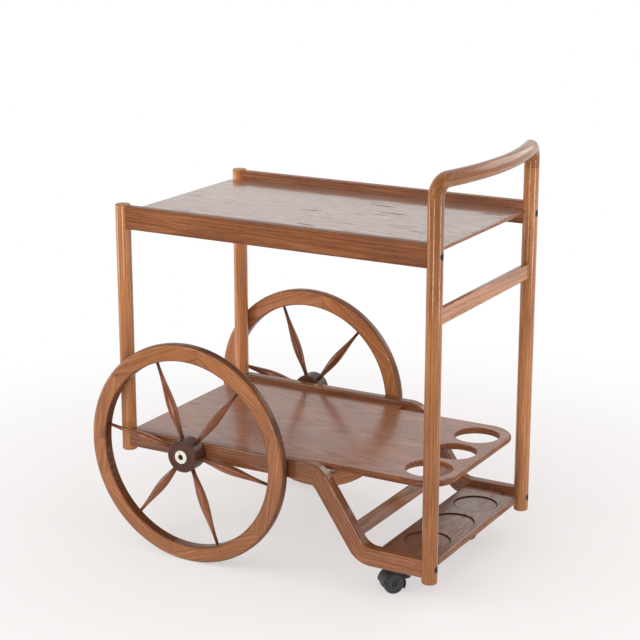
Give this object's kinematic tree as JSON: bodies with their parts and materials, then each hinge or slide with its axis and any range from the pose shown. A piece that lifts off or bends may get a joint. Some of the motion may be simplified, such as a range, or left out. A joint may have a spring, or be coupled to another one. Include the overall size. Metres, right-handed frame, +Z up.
{
  "type": "serving cart",
  "caption": "Wooden serving cart: railed tray, low shelf with bottle holes over a bottle floor, large spoked wheels in front, swivel casters behind and a bowed push handle.",
  "frame": {"origin": "on the floor, under the middle of the cart's bounding box", "axes": "+X from the large wheels towards the handle, +Y to the right of whoever pushes, +Z up"},
  "size_m": [0.7221, 0.4936, 0.7578],
  "materials": {
    "frame_wood": "stained, satin lacquer",
    "panel_wood": "stained, satin lacquer",
    "hub_wood": "dark stain, satin lacquer",
    "dowel_wood": "plain beech",
    "black_steel": "black oxide",
    "zinc_steel": "zinc plated",
    "white_nylon": "moulded nylon",
    "black_plastic": "moulded",
    "caster_steel": "black",
    "caster_tread": "moulded nylon"
  },
  "bodies": {
    "frame": {"axle_pin_left": "zinc_steel", "axle_pin_right": "zinc_steel", "axle_washer_left": "white_nylon", "axle_washer_right": "white_nylon", "barrel_nuts": "zinc_steel", "bottle_floor": "panel_wood", "caster_king_pin_left": "caster_steel", "caster_king_pin_right": "caster_steel", "caster_plate_left": "caster_steel", "caster_plate_right": "caster_steel", "caster_screws_left": "caster_steel", "caster_screws_right": "caster_steel", "connector_bolts": "black_steel", "cross_stretcher": "frame_wood", "cross_stretcher_dowels": "dowel_wood", "front_post_left": "frame_wood", "front_post_right": "frame_wood", "handle_dowels": "dowel_wood", "handle_rail": "frame_wood", "rear_post_left": "frame_wood", "rear_post_right": "frame_wood", "rear_stretcher": "frame_wood", "rear_stretcher_dowels": "dowel_wood", "shelf_panel": "panel_wood", "side_rail_left": "frame_wood", "side_rail_right": "frame_wood", "tray_panel": "panel_wood", "tray_rail_left": "frame_wood", "tray_rail_right": "frame_wood"},
    "wheel_left": {"wheel_rim_left": "frame_wood", "wheel_spokes_left": "frame_wood", "wheel_hub_left": "hub_wood", "hub_bush_left": "white_nylon"},
    "fork_left": {"caster_hood_left": "black_plastic", "caster_axle_left": "caster_steel"},
    "roller_a_left": {"caster_wheel_a_left": "caster_tread"},
    "roller_b_left": {"caster_wheel_b_left": "caster_tread"},
    "wheel_right": {"wheel_rim_right": "frame_wood", "wheel_spokes_right": "frame_wood", "wheel_hub_right": "hub_wood", "hub_bush_right": "white_nylon"},
    "fork_right": {"caster_hood_right": "black_plastic", "caster_axle_right": "caster_steel"},
    "roller_a_right": {"caster_wheel_a_right": "caster_tread"},
    "roller_b_right": {"caster_wheel_b_right": "caster_tread"}
  },
  "joints": [
    {"name": "wheel_left_spin", "type": "hinge", "parent": "frame", "child": "wheel_left", "pos_m": [-0.156, -0.2225, 0.205], "axis": [0, 1, 0], "continuous": true},
    {"name": "caster_left_swivel", "type": "hinge", "parent": "frame", "child": "fork_left", "pos_m": [0.246, -0.145, 0.05], "axis": [0, 0, 1], "continuous": true},
    {"name": "caster_left_roller_a_spin", "type": "hinge", "parent": "fork_left", "child": "roller_a_left", "pos_m": [0.22927, -0.16358, 0.0185], "axis": [-0.7431, 0.6691, 0], "continuous": true},
    {"name": "caster_left_roller_b_spin", "type": "hinge", "parent": "fork_left", "child": "roller_b_left", "pos_m": [0.22927, -0.16358, 0.0185], "axis": [-0.7431, 0.6691, 0], "continuous": true},
    {"name": "wheel_right_spin", "type": "hinge", "parent": "frame", "child": "wheel_right", "pos_m": [-0.156, 0.2225, 0.205], "axis": [0, 1, 0], "continuous": true},
    {"name": "caster_right_swivel", "type": "hinge", "parent": "frame", "child": "fork_right", "pos_m": [0.246, 0.145, 0.05], "axis": [0, 0, 1], "continuous": true},
    {"name": "caster_right_roller_a_spin", "type": "hinge", "parent": "fork_right", "child": "roller_a_right", "pos_m": [0.24166, 0.12038, 0.0185], "axis": [-0.9848, 0.1736, 0], "continuous": true},
    {"name": "caster_right_roller_b_spin", "type": "hinge", "parent": "fork_right", "child": "roller_b_right", "pos_m": [0.24166, 0.12038, 0.0185], "axis": [-0.9848, 0.1736, 0], "continuous": true}
  ]
}
